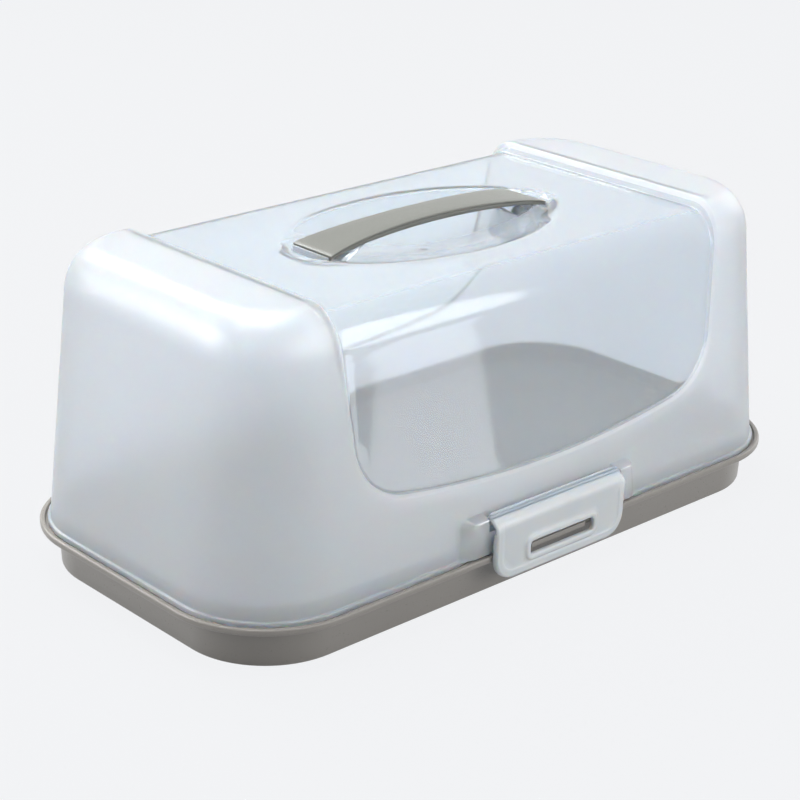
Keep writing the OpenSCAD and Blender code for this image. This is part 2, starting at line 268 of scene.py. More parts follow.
# Hood
hoodSizes = {
    "halfLength": 187.5, "halfWidth": 95.0, "corner": 49.0, "bottom": 22.4, "top": 162.7,
    "leanX": 0.1, "leanY": 0.088, "edgeWidth": 18.0, "edgeHeight": 24.5, "edgeRun": 34.0, "wall": 2.2,
    "bandDrop": 5.2, "bandIn": 1.8, "bandX": 127.0, "stepWidth": 4.4,
    "windowX": 122.0, "windowZ": 59.8, "windowBow": 7.2, "windowBowSpan": 90.0, "windowRadius": 34.0,
    "windowTop": 12.0, "windowSteps": 56,
    "bowlX": 82.0, "bowlY": 50.0, "bowlDepth": 14.3, "bowlRim": 0.2, "bowlTail": 4.5, "bowlFade": 3.5,
    "gateRadius": 1.2, "gateRise": 0.22, "roofFade": 6.0,
    "pocketX": 60.5, "pocketRadius": 21.0, "pocketDepth": 3.3, "pocketSoft": 1.8, "pocketBlend": 0.5,
    "padBottomX": 61.3, "padTopX": 59.3, "padBottom": 24.4, "padTop": 43.7, "padCorner": 4.0, "padReach": 60.0,
    "padRamp": 5.3, "padEnds": 0.25, "padSoft": 1.8, "padSpacing": 2.0, "notchX": 45.5, "notchZ": 37.6,
    "notchSteps": 44, "across": 57, "spacing": 1.7, "arcSteps": 16, "sideSteps": 16,
}
hs = hoodSizes
# The hood's profile coordinate u is the height on the walls and goes on over the edge and the roof
turnZ = hs["top"] - hs["edgeHeight"]          # the wall turns into the edge here
roofStart = turnZ + hs["edgeRun"]
roofHalf = hs["halfWidth"] - hs["leanY"] * (turnZ - hs["bottom"]) - hs["edgeWidth"]
middle = roofStart + roofHalf                 # the roof's centre line
wallBottom, wallStart = 20.0, 25.6            # where the flange begins and ends
roofZ = hs["top"] - hs["bandDrop"]
flangeTable = np.array([  # u, how far out, height
    (20.0, 1.1, 22.4), (20.3, 1.4, 22.7), (22.4, 1.4, 24.7), (22.8, 1.3, 24.9), (23.2, 1.1, 25.0),
    (24.3, 0.2, 25.05), (24.9, 0.04, 25.2), (25.6, 0.0, 25.6)])
padFace = np.array([  # u, distance in front of the middle plane
    (20, 95.2), (21, 98.2), (22, 98.7), (25.6, 98.85), (41.6, 99.25), (43.3, 98.6), (45.0, 96.8)])
padHeight = np.array([(20, 24.4), (21, 24.4), (22, 24.6), (25.6, 25.6), (60, 60)])  # u, height


def fromTable(value, table, column=1):
    return np.interp(value, table[:, 0], table[:, column])


def formAt(u, drawIn, drop):
    # Half sizes, corner radius and height of the form at u, drawn in and lowered for the band and the inner skin
    u = np.asarray(u, float)
    turn = turnZ - 0.4 * drop
    onWall = np.clip((u - wallStart) / (turnZ - wallStart), 0, 1)
    z = wallStart + (turn - wallStart) * onWall
    angle = np.clip((u - turnZ) / hs["edgeRun"], 0, 1) * pi / 2
    cut = (hs["edgeWidth"] - 0.6 * drawIn) * (1 - np.cos(angle))
    z = z + (hs["edgeHeight"] - 0.6 * drop) * np.sin(angle)
    height = wallStart + (turnZ - wallStart) * onWall - hs["bottom"]
    halfX = hs["halfLength"] - hs["leanX"] * height - drawIn - cut
    halfY = hs["halfWidth"] - hs["leanY"] * height - drawIn - cut
    radius = hs["corner"] - hs["leanY"] * height - drawIn - 0.7 * cut
    return halfX, halfY, radius, z


def footAt(u, inner):
    # How far out, and at what height, the foot of the wall stands
    if inner:
        return 0.0 * u, np.interp(u, (wallBottom, wallStart), (hs["bottom"], wallStart))
    return fromTable(u, flangeTable), fromTable(u, flangeTable, 2)


def halfWindow(grow):
    # Right half of the clear band's edge: the bowed sill, the round corner and the side up to the roof
    bowAmount, span = hs["windowBow"], hs["windowBowSpan"]
    cornerX = hs["windowX"] - hs["windowRadius"]
    bow = atan(2 * bowAmount * cornerX / span ** 2)
    radius = hs["windowRadius"] + grow
    touchX = cornerX + hs["windowRadius"] * sin(bow)
    cornerZ = hs["windowZ"] + bowAmount * (touchX / span) ** 2 + hs["windowRadius"] * cos(bow)
    endX = cornerX + radius * sin(bow)
    points = []
    for k in range(31):
        x = endX * k / 30
        points.append((x, hs["windowZ"] - grow + bowAmount * (x / span) ** 2))
    for k in range(1, 25):
        t = -pi / 2 + bow + (pi / 2 - bow) * k / 24
        points.append((cornerX + radius * cos(t), cornerZ + radius * sin(t)))
    startX, startU = points[-1]
    for f in (k / 20 for k in range(1, 21)):
        points.append((startX + (hs["bandX"] + grow - startX) * (1 - (1 - f) ** 1.35),
                       startU + (roofStart - hs["windowTop"] - startU) * f))
    return points


def windowLoop(grow):
    # The whole edge of the clear band, down the front, over the roof and down the rear
    half, count = halfWindow(grow), hs["windowSteps"]
    topU = half[-1][1]
    side = [(half[-1][0], topU + (2 * middle - 2 * topU) * k / count) for k in range(1, count)]
    right = half + side + [(x, 2 * middle - u) for x, u in reversed(half)]
    left = [(-x, u) for x, u in reversed(right)][1:-1]
    return right + left


def padSide(z):
    # Half length of the latch pad at a height
    narrower, height = hs["padBottomX"] - hs["padTopX"], hs["padTop"] - hs["padBottom"]
    return hs["padBottomX"] - narrower * (z - hs["padBottom"]) / height


def padLine(grow):
    # Edge of the latch pad with the clip's notch, from the bottom on the left to the bottom on the right
    notchX, notch, turn = hs["notchX"] - grow, hs["notchZ"] + grow, hs["padCorner"]
    centreZ = hs["padTop"] - turn
    centreX = padSide(centreZ) - turn
    corners = [(padSide(wallBottom) + grow, wallBottom), (padSide(centreZ) + grow, centreZ)]
    corners += arcPoints(centreX, centreZ, turn + grow, 18, 90, 4)
    corners += [(notchX, hs["padTop"] + grow), (notchX, notch)]
    points = []
    for (x0, u0), (x1, u1) in zip(corners[:-1], corners[1:]):
        n = max(1, round(hypot(x1 - x0, u1 - u0) / hs["padSpacing"]))
        points += [(x0 + (x1 - x0) * k / n, u0 + (u1 - u0) * k / n) for k in range(n)]
    n = hs["notchSteps"]
    bottom = [(notchX * (1 - 2 * k / n), notch) for k in range(n + 1)]
    return points + bottom + [(-x, u) for x, u in reversed(points)]


def signedDistance(points, loop):
    # Distance to a closed line, negative inside it
    loop = np.asarray(loop)
    a, b = loop, np.roll(loop, -1, axis=0)
    best = np.full(len(points), 1e9)
    inside = np.zeros(len(points), bool)
    for p, q in zip(a, b):
        d = q - p
        t = np.clip(((points - p) @ d) / max(d @ d, 1e-9), 0, 1)
        best = np.minimum(best, np.hypot(*(points - (p + t[:, None] * d)).T))
        crosses = (p[1] > points[:, 1]) != (q[1] > points[:, 1])
        with np.errstate(divide="ignore", invalid="ignore"):
            at = p[0] + (points[:, 1] - p[1]) * (q[0] - p[0]) / (q[1] - p[1])
        inside ^= crosses & (points[:, 0] < at)
    return np.where(inside, -best, best)


def bowlDepth(x, y, grow):
    # Depth of the hand recess and its end pockets under the saddle's roof
    dip = hs["bowlDepth"] * (1 - (x / hs["bowlX"]) ** 2 - (y / hs["bowlY"]) ** 2)
    bowl = (dip + np.sqrt(dip * dip + hs["bowlRim"])) / 2 * fade(dip, -hs["bowlTail"], hs["bowlFade"])
    if grow == 0:
        bowl = bowl - hs["gateRise"] * (1 - smoothStep(np.hypot(x, y) - hs["gateRadius"]))
    reach, soft = np.hypot(np.abs(x) - hs["pocketX"], y), hs["pocketSoft"]
    pocket = hs["pocketDepth"] * (1 - smoothStep((reach - hs["pocketRadius"] - grow + soft / 2) / soft))
    blend = hs["pocketBlend"]
    share = np.clip(0.5 + (bowl - pocket) / (2 * blend), 0, 1)
    return pocket * (1 - share) + bowl * share + blend * share * (1 - share)


def wallPoints(x, along, inner):
    # Places of the middle zone, whose coordinates are x and the way over the hood from front to rear
    u = np.where(along <= middle, along, 2 * middle - along)
    side = np.where(along <= middle, -1.0, 1.0)
    plane = np.column_stack([x, along])
    grow = hs["wall"] if inner else 0.0
    step = softRamp(0.5 - (signedDistance(plane, windowLoop(0.0)) - grow) / hs["stepWidth"])
    out, low = footAt(u, inner)
    below = u < wallStart
    places = []
    for drawIn, drop in ((grow, grow), (hs["bandIn"] + grow, hs["bandDrop"] + grow)):
        halfX, halfY, radius, z = formAt(u, drawIn, drop)
        y = halfY * np.clip((middle - u) / roofHalf, 0, 1)
        places.append(np.column_stack([x, side * np.where(below, y + out, y), np.where(below, low, z)]))
    place = places[0] * (1 - step[:, None]) + places[1] * step[:, None]
    onRoof = smoothStep((u - roofStart + hs["roofFade"]) / hs["roofFade"])
    place[:, 2] -= bowlDepth(x, place[:, 1], grow) * onRoof
    if not inner:
        # The pad rises slowly from its ends to the depth that covers the pin
        full = smoothStep(0.5 - signedDistance(plane, padLine(0.0)) / hs["padSoft"])
        ramp = smoothStep((padSide(u) - np.abs(x)) / hs["padRamp"])
        pad = np.where(along < hs["padReach"], full * (hs["padEnds"] + (1 - hs["padEnds"]) * ramp), 0)
        padPlace = np.column_stack([x, -fromTable(u, padFace), fromTable(u, padHeight)])
        place = place * (1 - pad[:, None]) + padPlace * pad[:, None]
    return place, step


def roundMiddle(a, b, count):
    # Closed line round the middle of the roof
    turns = [2 * pi * k / count for k in range(count)]
    return [(a * cos(t), middle + b * sin(t)) for t in turns]


def borderX(along):
    # Where the middle zone meets the rounded ends
    halfX, halfY, radius, z = formAt(np.minimum(along, 2 * middle - along), 0, 0)
    return halfX - radius


def hoodPlane(levels):
    # Triangles of the middle zone laid flat, following the step, the gate mark, the recess and the pad
    lines = [(windowLoop(g), True) for g in (-2.2, -1.85, -1.5, -1.15, 0.0, 1.15, 1.5, 1.85, 2.2)]
    lines += [(roundMiddle(radius, radius, 24), True) for radius in (0.6, 1.3, 1.65, 2.0, 3.2)]
    for share in (0.15, 0.35, 0.55, 0.72, 0.84, 0.91, 0.955, 0.98, 0.993, 1.006, 1.02, 1.045, 1.08, 1.13):
        count = 96 if share > 0.5 else 40
        lines.append((roundMiddle(hs["bowlX"] * share, hs["bowlY"] * share, count), True))
    lines += [(padLine(g), False) for g in (-0.9, -0.3, 0.3, 0.9)]
    points, edges = joinLines(lines)
    tree = kdtree.KDTree(len(points))
    for i, p in enumerate(points):
        tree.insert((*p, 0), i)
    tree.balance()
    for along in levels:
        reach = borderX(along)
        points += [(-reach, along), (reach, along)]
        for x in np.linspace(-reach, reach, hs["across"])[1:-1]:
            if tree.find((x, along, 0))[2] > hs["spacing"]:
                points.append((x, along))
    plane, triangles, middles = triangulate(points, edges, 1e-6)
    return plane, triangles[np.abs(middles[:, 0]) < borderX(middles[:, 1]) + 1e-6]


def capRow(u, grow):
    # One level of a rounded end, from the front round the side to the rear
    halfX, halfY, radius, z = formAt(u, grow, grow)
    baseX, baseY, baseRadius = formAt(u, 0, 0)[:3]
    out = 0.0
    if u < wallStart:
        out, z = footAt(u, grow > 0)
    cx, cy = baseX - baseRadius, baseY - baseRadius
    radius = baseRadius + (halfX - baseX) + out
    row = arcPoints(cx, -cy, radius, -90, 0, hs["arcSteps"])
    row += [(cx + radius, -cy + 2 * cy * k / hs["sideSteps"]) for k in range(1, hs["sideSteps"])]
    return [(x, y, z) for x, y in row + arcPoints(cx, cy, radius, 0, 90, hs["arcSteps"])]


def roofFlat(row, roofLevels):
    # The flat of the roof between an end's last row and the middle zone
    rim = [(x, y) for x, y, z in row]
    edgeX = rim[0][0]
    rim[0], rim[-1] = (edgeX, -roofHalf), (rim[-1][0], roofHalf)
    back = [(edgeX, roofHalf * (1 - (u - roofStart) / roofHalf)) for u in roofLevels]
    back = back + [(edgeX, 0.0)] + [(x, -y) for x, y in reversed(back)]
    points, edges = joinLines([(rim + back, True)])
    points += [(x, y) for x in np.linspace(edgeX + 4, edgeX + 22, 5) for y in np.linspace(-54, 54, 15)]
    cap = delaunay_2d_cdt([Vector(p) for p in points], edges, [], 1, 1e-5)
    flat, faces = [tuple(v) for v in cap[0]], []
    for face in cap[2]:
        a, b, c = (np.array(flat[i]) for i in face)
        faces.append(tuple(face) if np.cross(b - a, c - a) > 0 else tuple(face)[::-1])
    return flat, faces


def buildHood():
    wallLevels = list(flangeTable[:-1, 0]) + list(np.linspace(wallStart, turnZ, 22))
    wallLevels += list(turnZ + hs["edgeRun"] * np.arange(1, 17) / 16)
    roofLevels = list(roofStart + roofHalf * np.arange(1, 13) / 13)
    levels = np.array(wallLevels + roofLevels + [middle])
    plane, triangles = hoodPlane(np.concatenate([levels, 2 * middle - levels[-2::-1]]))
    outer, step = wallPoints(plane[:, 0], plane[:, 1], False)
    inner = wallPoints(plane[:, 0], plane[:, 1], True)[0]
    faces, clearFace = triangles.tolist(), (step[triangles].mean(axis=1) > 0.5).tolist()
    print("hood middle", len(plane), "points", len(faces), "triangles")

    # Rounded ends, level by level round the two corners
    rows = [[capRow(u, grow) for u in wallLevels] for grow in (0.0, hs["wall"])]
    flat, flatFaces = roofFlat(rows[0][-1], roofLevels)
    rowLength = len(rows[0][0])
    skins = [outer.tolist(), inner.tolist()]
    for sign in (1, -1):
        start = len(skins[0])
        flatStart = start + len(wallLevels) * rowLength
        for skin, skinRows, roofTop in zip(skins, rows, (hs["top"], hs["top"] - hs["wall"])):
            skin += [(sign * x, y, z) for row in skinRows for x, y, z in row]
            skin += [(sign * x, y, roofTop) for x, y in flat]
        added = []
        for i in range(len(wallLevels) - 1):
            for a in range(start + i * rowLength, start + (i + 1) * rowLength - 1):
                added.append((a, a + 1, a + 1 + rowLength, a + rowLength))
        added += [tuple(flatStart + i for i in face) for face in flatFaces]
        faces += [face[::sign] for face in added]
    clearFace += [False] * (len(faces) - len(clearFace))

    # Weld the zones, keeping the inner wall's points beside the outer ones
    keys = {}
    index = [keys.setdefault(tuple(p), len(keys)) for p in np.round(np.array(skins[0]), 3)]
    places = np.unique(index, return_index=True)[1]
    vertices = np.vstack([np.array(skin)[places] for skin in skins]) * mm
    front, marks = [], []
    for face, isClear in zip(faces, clearFace):
        corners = list(dict.fromkeys(index[i] for i in face))
        if len(corners) > 2:
            front.append(tuple(corners))
            marks.append(int(isClear))
    shell = closeSheet(front, len(places))
    marks += marks + [0] * (len(shell) - 2 * len(marks))
    print("hood shell", len(vertices), "points", len(shell), "faces, rim", len(shell) - 2 * len(front))
    hood = meshObject("hood_shell", vertices, shell, frosted, clear)
    hood.data.polygons.foreach_set("material_index", marks)
    return finishPiece(hood, 50, turnOut=False)


hoodShell = buildHood()


def newTree(name, lengths, counts):
    # A Geometry Nodes tree with one input for each size, and one for the plastic
    tree = bpy.data.node_groups.new(name, "GeometryNodeTree")
    tree.interface.new_socket(name="Geometry", in_out="OUTPUT", socket_type="NodeSocketGeometry")
    kinds = {**dict.fromkeys(lengths, "NodeSocketFloat"), **dict.fromkeys(counts, "NodeSocketInt"),
             "plastic": "NodeSocketMaterial"}
    sockets = {key: tree.interface.new_socket(name=key, in_out="INPUT", socket_type=kind).identifier
               for key, kind in kinds.items()}
    return tree, sockets, addNode(tree, "NodeGroupInput").outputs


def finishTree(tree, geometry, plastic):
    smooth = addNode(tree, "GeometryNodeSetShadeSmooth", {"Geometry": geometry})
    real = addNode(tree, "GeometryNodeRealizeInstances", {"Geometry": smooth})
    painted = addNode(tree, "GeometryNodeSetMaterial", {"Geometry": real, "Material": plastic})
    addNode(tree, "NodeGroupOutput", {"Geometry": painted})


def applyTree(name, tree, sockets, sizes, plastic):
    # Runs the tree on an empty mesh and keeps its result as a plain mesh
    holder = addObject(name + "_maker", bpy.data.meshes.new(name + "_maker"))
    modifier = holder.modifiers.new("maker", "NODES")
    modifier.node_group = tree
    for key, socket in sockets.items():
        if key == "plastic":
            modifier[socket] = plastic
        else:
            modifier[socket] = sizes[key] if isinstance(sizes[key], int) else sizes[key] * mm
    mesh = bpy.data.meshes.new_from_object(holder.evaluated_get(bpy.context.evaluated_depsgraph_get()))
    holder.modifiers.remove(modifier)
    bpy.data.objects.remove(holder)
    return addObject(name, mesh)


# Strap handle, a Geometry Nodes tube whose height and width follow the arch
strapSizes = {
    "halfLength": 73.0, "seat": 157.8, "rise": 6.5, "thick": 4.0, "tip": 2.4, "midHalf": 9.7,
    "endHalf": 14.2, "steps": 121, "stretch": 1.02, "endStart": 0.978, "endShare": 0.022,
    "archPower": 0.75, "weld": 0.004,
    "tabX": 67.7, "tabThick": 2.6, "tabWidth": 14.0, "tabDown": 4.0, "tabSunk": 1.0, "tabEdge": 0.4,
    # Half of the section from the middle of the underside round to the middle of the top: across and up, as shares
    "section": [(0.0, 0.0), (0.5, 0.0), (0.93, 0.0), (0.965, 0.04), (0.982, 0.12), (0.985, 0.3), (0.985, 0.5),
                (0.978, 0.545), (0.95, 0.57), (0.94, 0.62), (0.945, 0.68), (0.985, 0.7), (1.0, 0.74), (1.0, 0.84),
                (0.994, 0.9), (0.975, 0.95), (0.945, 0.97), (0.5, 0.99), (0.0, 1.0)],
}
ss = strapSizes
# The sums of the arch: a name, what is done, and with what; x runs from -1 to 1 along the strap
strapSums = [
    "past MULTIPLY x stretch", "past MAXIMUM past -1", "along MINIMUM past 1",
    "beyond ABSOLUTE x", "beyond SUBTRACT beyond endStart", "beyond MAXIMUM beyond 0", "beyond DIVIDE beyond endShare",
    "beyond POWER beyond 3", "shut SUBTRACT 1 beyond", "shut MAXIMUM shut 0", "shut POWER shut 0.6",
    "square MULTIPLY along along", "rest SUBTRACT 1 square", "rest MAXIMUM rest 0",
    "flare SUBTRACT endHalf midHalf", "flare MULTIPLY flare square", "half ADD midHalf flare",
    "arch POWER rest archPower", "arch MULTIPLY arch rise", "top ADD arch seat",
    "swell SUBTRACT thick tip", "swell MULTIPLY swell rest", "thickness ADD swell tip",
    "across SUBTRACT around 0.5", "across MULTIPLY across 2", "across MULTIPLY across half",
    "across MULTIPLY across shut", "under SUBTRACT up 0.5", "under MULTIPLY under shut", "under SUBTRACT under 0.5",
    "under MULTIPLY under thickness", "height ADD top under", "length MULTIPLY along halfLength"]


def strapUnder(x):
    # Height of the strap's underside
    rest = max(1 - (x / ss["halfLength"]) ** 2, 0)
    return ss["seat"] + ss["rise"] * rest ** ss["archPower"] - ss["tip"] - (ss["thick"] - ss["tip"]) * rest


def buildStrap():
    lengths = ("halfLength", "seat", "rise", "thick", "tip", "midHalf", "endHalf")
    tree, sockets, given = newTree("strap_maker", lengths, ("steps", "loopSteps"))
    loop = ss["section"] + [(-a, b) for a, b in reversed(ss["section"])][1:]
    grid = addNode(tree, "GeometryNodeMeshGrid", {
        "Size X": 2.0, "Size Y": 1.0, "Vertices X": given["steps"], "Vertices Y": given["loopSteps"]})
    place = addNode(tree, "ShaderNodeSeparateXYZ", {"Vector": addNode(tree, "GeometryNodeInputPosition")}).outputs
    turn = addNode(tree, "ShaderNodeMath", {0: place["Y"], 1: 0.5}, operation="ADD")
    value = {**ss, "x": place["X"], **{key: given[key] for key in lengths}}
    for key, column, offset in (("around", 0, 0.5), ("up", 1, 0.0)):
        curve = addNode(tree, "ShaderNodeFloatCurve", {"Value": turn})
        points = curve.mapping.curves[0].points
        for i, p in enumerate(loop):
            at = (i / (len(loop) - 1), p[column] * (1 - offset) + offset)
            point = points[0] if i == 0 else points[-1] if i == len(loop) - 1 else points.new(*at)
            point.location = at
        for point in points:
            point.handle_type = "VECTOR"
        curve.mapping.update()
        value[key] = curve
    for line in strapSums:
        key, operation, *terms = line.split()
        inputs = {i: value[term] if term in value else float(term) for i, term in enumerate(terms)}
        value[key] = addNode(tree, "ShaderNodeMath", inputs, operation=operation)
    vector = addNode(tree, "ShaderNodeCombineXYZ", {"X": value["length"], "Y": value["across"], "Z": value["height"]})
    moved = addNode(tree, "GeometryNodeSetPosition", {"Geometry": grid, "Position": vector})
    merged = addNode(tree, "GeometryNodeMergeByDistance", {"Geometry": moved, "Distance": ss["weld"] * mm})
    finishTree(tree, merged, given["plastic"])
    strap = applyTree("strap_handle", tree, sockets, {**ss, "loopSteps": len(loop)}, strapPlastic)
    halfThick, halfWidth, under = ss["tabThick"] / 2, ss["tabWidth"] / 2, strapUnder(ss["tabX"])
    for side in (-1, 1):
        x = side * ss["tabX"]
        addBlock(strap, (x - halfThick, -halfWidth, under - ss["tabDown"]),
                 (x + halfThick, halfWidth, under + ss["tabSunk"]), ss["tabEdge"])
    return finishPiece(strap, 35)


strapPiece = buildStrap()

# Tray
traySizes = {
    "halfLength": 192.5, "halfWidth": 100.0, "corner": 54.0, "steps": 20, "rimLow": 20.4, "rimTop": 23.7,
    "seat": 22.1, "lip": 2.6, "over": 8.4, "draft": 1.4, "wall": 2.4, "floor": 26.5, "floorThick": 2.4,
    "borderTop": 31.1, "borderIn": 8.5, "borderWide": 2.2, "bankIn": 17.2, "bankRound": 0.86, "bankEnd": 1.06,
    "floorCorner": 60.0, "catchHalf": 19.0, "catchOut": 1.3, "catchInset": 0.3, "catchEdge": 0.4,
}


def trayRings():
  # Rings from the underside out and up to the floor: how far in from the rim's edge, height and corner radius
    ts = traySizes
    foot = ts["over"] + ts["draft"]
    inner = foot + ts["wall"]
    over, low, top, lip, seat = ts["over"], ts["rimLow"], ts["rimTop"], ts["lip"], ts["seat"]
    border, bank, high = ts["borderIn"], ts["borderIn"] + ts["borderWide"], ts["borderTop"]
    profile = [(inner, ts["floor"] - ts["floorThick"]), (inner, 0.25), (inner - 0.25, 0.0)]  # inside of the foot
    profile += [(foot + 1.0, 0.0), (foot + 0.3, 0.3), (foot, 1.0)]  # foot's outer edge
    profile += [(over + 0.5, low - 0.9), (over + 0.15, low - 0.25), (over - 0.5, low)]  # under the rim
    profile += [(1.0 - dx, z) for dx, z in arcPoints(0.0, low + 1.0, 1.0, -90, 0, 4)]  # rim's lower edge
    profile += [(0.9 - dx, z) for dx, z in arcPoints(0.0, top - 0.9, 0.9, 0, 90, 5)]  # rim's upper edge
    profile += [(lip - 0.5, top), (lip - 0.15, top - 0.15), (lip, top - 0.5)]  # inside of the lip
    profile += [(lip + 0.05, seat + 0.3), (lip + 0.35, seat)]  # hood's ledge
    profile += [(border - 0.3, seat), (border, seat + 0.3)]  # border's foot
    profile += [(border, high - 0.8), (border + 0.25, high - 0.2), (border + 0.8, high)]  # border's top
    profile += [(bank - 0.7, high), (bank - 0.1, high - 0.2), (bank + 0.45, high - 0.6)]  # bank's top
    rings = [(a, z, ts["corner"] - a) for a, z in profile]
    for f in (0.25, 0.5, 0.75, 0.88, 0.95, 1.0, 1.06):
        fall = f
        if f > ts["bankRound"]:
            left = (ts["bankEnd"] - f) / (ts["bankEnd"] - ts["bankRound"])
            fall = ts["bankRound"] + (1 - ts["bankRound"]) * (1 - left ** 2)
        radius = (ts["corner"] - bank) * (1 - f) + ts["floorCorner"] * f
        rings.append((bank + (ts["bankIn"] - bank) * f, high + (ts["floor"] - high) * fall, radius))
    return rings


def buildTray():
    ts, rings = traySizes, trayRings()
    vertices, n = [], 4 * (ts["steps"] + 1)
    for a, z, radius in rings:
        ring = outlineRing(ts["halfLength"] - a, ts["halfWidth"] - a, radius, ts["steps"])
        vertices += [(x, y, z) for x, y in ring]
    faces = ringFaces(len(rings), n) + [tuple(reversed(range(n))), tuple(range(len(vertices) - n, len(vertices)))]
    tray = meshObject("serving_tray", np.array(vertices) * mm, faces, trayPlastic)
    changeMesh(tray, lambda bm: bmesh.ops.remove_doubles(bm, verts=bm.verts, dist=1e-6))
    addBlock(tray, (-ts["catchHalf"], -ts["halfWidth"] - ts["catchOut"], ts["rimLow"] + ts["catchInset"]),
             (ts["catchHalf"], -ts["halfWidth"] + 1.0, ts["rimTop"] - ts["catchInset"]), ts["catchEdge"])
    return finishPiece(tray, 40)


trayPiece = buildTray()

# Latch clip, a bent sheet with a framed slot
clipSizes = {
    "halfWidth": 45.0, "drop": 31.2, "thick": 1.6, "edgeThinner": 0.5, "corner": 12.0, "ledgeCorner": 4.0,
    "plateY": -103.6, "plateEnd": 34.0, "plateFade": 4.0, "fieldEnd": 33.0,
    "slotHalf": 22.2, "slotLow": 19.1, "slotHigh": 26.1, "slotCorner": 2.0, "frame": 3.0, "frameOut": 0.8,
    "turnIn": 2.4, "turnShare": 0.75, "bead": 0.3, "fieldStart": 4.4, "fieldIn": 0.3,
    "beadRise": 0.6, "beadWide": 1.0, "soft": 0.9, "fieldSoft": 0.8, "spacing": 0.9, "smallCorner": 0.3,
    "pinY": -97.2, "pinZ": 41.6, "barrel": 2.4, "bore": 1.2, "barrelEnd": 0.4, "around": 28,
    # Side view of the fold and the ledge: the way up the sheet, how far back, and height
    "fold": [(36.4, 0.0, 36.4), (38.4, 0.06, 38.4), (39.8, 0.4, 39.75), (41.0, 1.1, 40.8), (42.1, 2.1, 41.65),
             (43.2, 3.2, 42.35), (46.4, 6.1, 43.95), (48.6, 7.8, 44.9), (49.1, 8.1, 45.05)],
}
cs = clipSizes
clipLow = cs["pinZ"] - cs["drop"]
clipHigh = cs["fold"][-1][0]


def roundedLoop(halfX, low, high, cornerLow, cornerHigh, steps=10, spacing=2.5):
    # Rounded rectangle with points along its straights
    points = []
    for cx, cz, radius, start in ((halfX, low, cornerLow, -90), (halfX, high, cornerHigh, 0),
                                  (-halfX, high, cornerHigh, 90), (-halfX, low, cornerLow, 180)):
        ox = cx - copysign(radius, cx)
        oz = cz + radius if cz == low else cz - radius
        points += arcPoints(ox, oz, radius, start, start + 90, steps)
    full = []
    for p, q in zip(points, points[1:] + points[:1]):
        n = max(1, int(dist(p, q) / spacing))
        full += [(p[0] + (q[0] - p[0]) * k / n, p[1] + (q[1] - p[1]) * k / n) for k in range(n)]
    return full


def sheetLine(d):
    # The sheet's edge, drawn in by d
    corner, ledgeCorner = max(cs["corner"] - d, 1.0), max(cs["ledgeCorner"] - d, cs["smallCorner"])
    return roundedLoop(cs["halfWidth"] - d, clipLow + d, clipHigh - d * 0.3, corner, ledgeCorner)


def slotLine(d):
    # The slot's edge, widened by d
    corner = max(cs["slotCorner"] + d, cs["smallCorner"])
    return roundedLoop(cs["slotHalf"] + d, cs["slotLow"] - d, cs["slotHigh"] + d, corner, corner)


def clipPlane():
    # Triangles of the sheet laid flat, following its edge and the slot's frame
    lines = [sheetLine(0.0), slotLine(0.0)]
    lines += [sheetLine(d) for d in (0.25, 0.6, 1.0, 1.4, 1.9, 2.4, 3.2, 4.1, 4.4, 4.8)]
    lines += [slotLine(d) for d in (0.35, 0.8, 1.6, 2.5, 3.1, 3.7)]
    points, edges = joinLines([(line, True) for line in lines])
    linePoints = np.array(points)
    for x in np.linspace(-42, 42, 29):
        for v in np.concatenate([np.arange(clipLow + 3, 36, 3.0), np.arange(37.2, clipHigh, 0.8)]):
            if np.hypot(linePoints[:, 0] - x, linePoints[:, 1] - v).min() > cs["spacing"]:
                points.append((x, v))
    plane, triangles, middles = triangulate(points, edges, 1e-7)
    keep = (signedDistance(middles, lines[0]) < 0) & (signedDistance(middles, lines[1]) > 0)
    return plane, triangles[keep]


def barrelRings():
    # Rings of the tube round the pin, out over its turned-down edges and back through the bore
    wide, end, barrel = cs["halfWidth"], cs["barrelEnd"], cs["barrel"]
    rings = [(end - wide, barrel - end), (2 * end - wide, barrel), (wide - 2 * end, barrel), (wide - end, barrel - end)]
    rings += [(x, cs["bore"]) for x, radius in reversed(rings)]
    return [[(x * mm, y * mm, z * mm) for y, z in arcPoints(cs["pinY"], cs["pinZ"], radius, 0, 360, cs["around"])[:-1]]
            for x, radius in rings]


